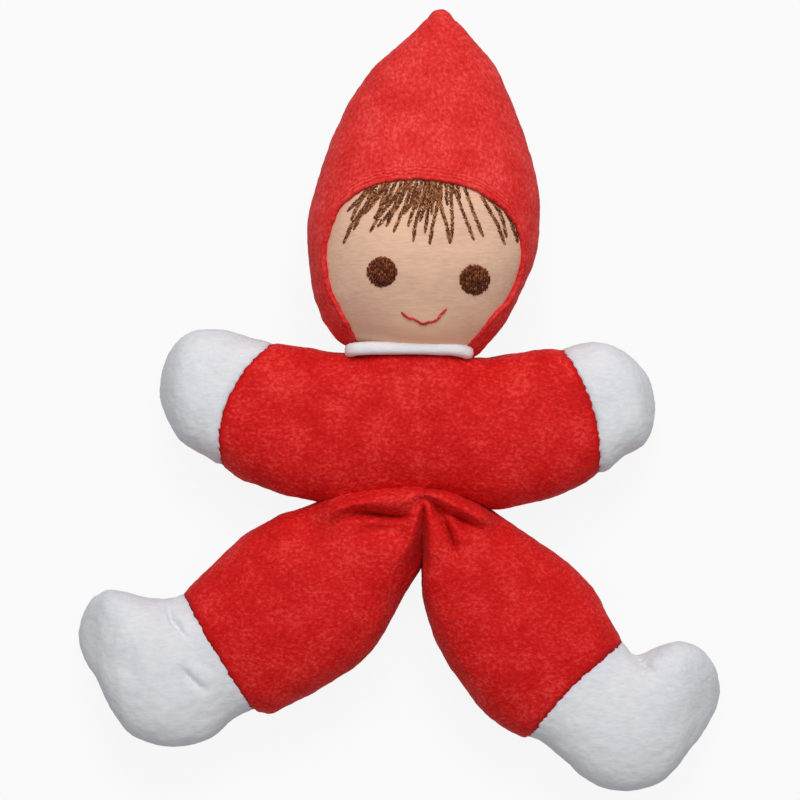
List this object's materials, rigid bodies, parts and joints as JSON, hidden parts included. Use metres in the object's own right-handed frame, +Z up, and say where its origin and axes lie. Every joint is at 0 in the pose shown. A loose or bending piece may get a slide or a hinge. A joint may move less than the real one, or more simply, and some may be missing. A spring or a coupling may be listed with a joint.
{
  "type": "stuffed cloth doll with a pointed hood",
  "caption": "Soft stuffed cloth doll with a pointed hood, embroidered face, collar roll, rounded hands and feet, lying on its back with arms and legs spread.",
  "frame": {"origin": "on the surface that the doll lies on, under the middle of the torso", "axes": "+Z up out of the rest surface, to the face side; +Y from the feet to the tip of the hood; +X to the right as the doll is seen from above"},
  "size_m": [0.2029, 0.2522, 0.0551],
  "materials": {
    "red_velour": "short soft pile",
    "white_velour": "short soft pile",
    "face_knit": "fine brushed knit",
    "brown_thread": "satin thread",
    "red_thread": "satin thread",
    "white_thread": "matt thread",
    "polyester_filling": "loose fibre"
  },
  "bodies": {
    "torso": {"torso_front_left": "red_velour", "torso_front_right": "red_velour", "torso_back": "red_velour", "torso_filling": "polyester_filling", "collar_band": "white_velour", "hip_stitch": "red_thread"},
    "neck": {"neck_core": "face_knit", "neck_tie": "white_thread"},
    "head": {"hood_front": "red_velour", "hood_back": "red_velour", "hood_hem": "red_velour", "hood_tip": "red_velour", "face_panel": "face_knit", "head_filling": "polyester_filling", "eye_left": "brown_thread", "eye_right": "brown_thread", "mouth": "red_thread", "hair_strand_01": "brown_thread", "hair_strand_02": "brown_thread", "hair_strand_03": "brown_thread", "hair_strand_04": "brown_thread", "hair_strand_05": "brown_thread", "hair_strand_06": "brown_thread", "hair_strand_07": "brown_thread", "hair_strand_08": "brown_thread", "hair_strand_09": "brown_thread", "hair_strand_10": "brown_thread", "hair_strand_11": "brown_thread", "hair_strand_12": "brown_thread", "hair_strand_13": "brown_thread", "hair_strand_14": "brown_thread", "hair_strand_15": "brown_thread", "hair_strand_16": "brown_thread", "hair_strand_17": "brown_thread", "hair_strand_18": "brown_thread", "hair_strand_19": "brown_thread"},
    "arm_left": {"sleeve_left": "red_velour", "hand_left": "white_velour", "arm_filling_left": "polyester_filling"},
    "leg_left": {"leg_cover_left": "red_velour", "foot_left": "white_velour", "leg_filling_left": "polyester_filling"},
    "arm_right": {"sleeve_right": "red_velour", "hand_right": "white_velour", "arm_filling_right": "polyester_filling"},
    "leg_right": {"leg_cover_right": "red_velour", "foot_right": "white_velour", "leg_filling_right": "polyester_filling"}
  },
  "joints": [
    {"name": "neck_nod", "type": "hinge", "parent": "torso", "child": "neck", "pos_m": [-0.0027, 0.024, 0.021], "axis": [1, 0, 0], "range_deg": [-5, 10], "stiffness_Nm_per_rad": 0.02},
    {"name": "neck_turn", "type": "hinge", "parent": "neck", "child": "head", "pos_m": [-0.0025, 0.027, 0.021], "axis": [0.0872, 0.9962, 0], "range_deg": [-18, 18], "stiffness_Nm_per_rad": 0.012},
    {"name": "shoulder_left", "type": "hinge", "parent": "torso", "child": "arm_left", "pos_m": [-0.03, -0.0012, 0.0169], "axis": [0, 0, -1], "range_deg": [-10, 20], "stiffness_Nm_per_rad": 0.02},
    {"name": "shoulder_right", "type": "hinge", "parent": "torso", "child": "arm_right", "pos_m": [0.03, -0.0012, 0.0169], "axis": [0, 0, 1], "range_deg": [-10, 20], "stiffness_Nm_per_rad": 0.02},
    {"name": "hip_left", "type": "hinge", "parent": "torso", "child": "leg_left", "pos_m": [0, -0.042, 0.0185], "axis": [-1, 0, 0], "range_deg": [-20, 80]},
    {"name": "hip_right", "type": "hinge", "parent": "torso", "child": "leg_right", "pos_m": [0, -0.042, 0.0185], "axis": [-1, 0, 0], "range_deg": [-20, 80]}
  ]
}
